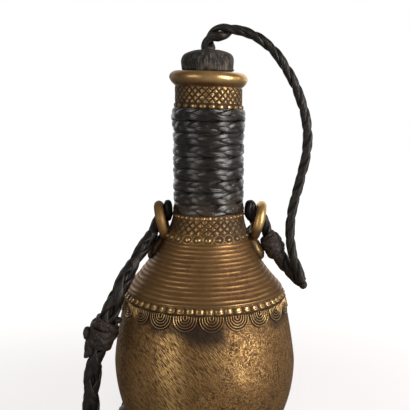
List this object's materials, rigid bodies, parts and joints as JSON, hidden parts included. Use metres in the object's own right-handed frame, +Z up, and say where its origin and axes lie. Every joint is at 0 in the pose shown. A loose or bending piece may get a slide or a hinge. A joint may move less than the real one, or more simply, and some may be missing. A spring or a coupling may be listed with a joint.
{
  "type": "flask",
  "caption": "Cast bronze flask with a ridged shoulder, a leather-bound neck, side rings, a plaited carrying strap and a corded stopper that lifts out",
  "frame": {"origin": "centre of the base, on the surface that the flask stands on", "axes": "+Z up through the body, -Y the front, +X the right side seen from the front"},
  "size_m": [0.1152, 0.1982, 0.218],
  "materials": {
    "bronze": "worn cast bronze with a brown patina",
    "strap_leather": "black plaited leather, half polished by use",
    "thong_leather": "dark brown thong",
    "stopper_wood": "dark, dry turned wood"
  },
  "bodies": {
    "flask": {"flask_body": "bronze", "neck_binding": "strap_leather", "left_ring": "bronze", "right_ring": "bronze", "left_ring_knot": "strap_leather", "right_ring_knot": "strap_leather", "strap_end_lashing": "thong_leather", "strap_left_run": "strap_leather", "strap_coil": "strap_leather", "strap_return_run": "strap_leather", "coil_tie": "thong_leather", "strap_wrap_knot": "thong_leather", "wrap_knob": "thong_leather", "wrap_nub": "thong_leather", "wrap_tail": "thong_leather", "ring_cord": "strap_leather", "barrel_knot": "thong_leather", "fold_knob": "thong_leather", "stopper_cord": "strap_leather"},
    "stopper": {"stopper": "stopper_wood", "stopper_cord_core": "strap_leather", "stopper_end_knot": "strap_leather"}
  },
  "joints": [
    {"name": "stopper_lift", "type": "slide", "parent": "flask", "child": "stopper", "axis": [0, 0, 1], "range_m": [0, 0.03], "deforming": ["stopper_cord"]}
  ]
}
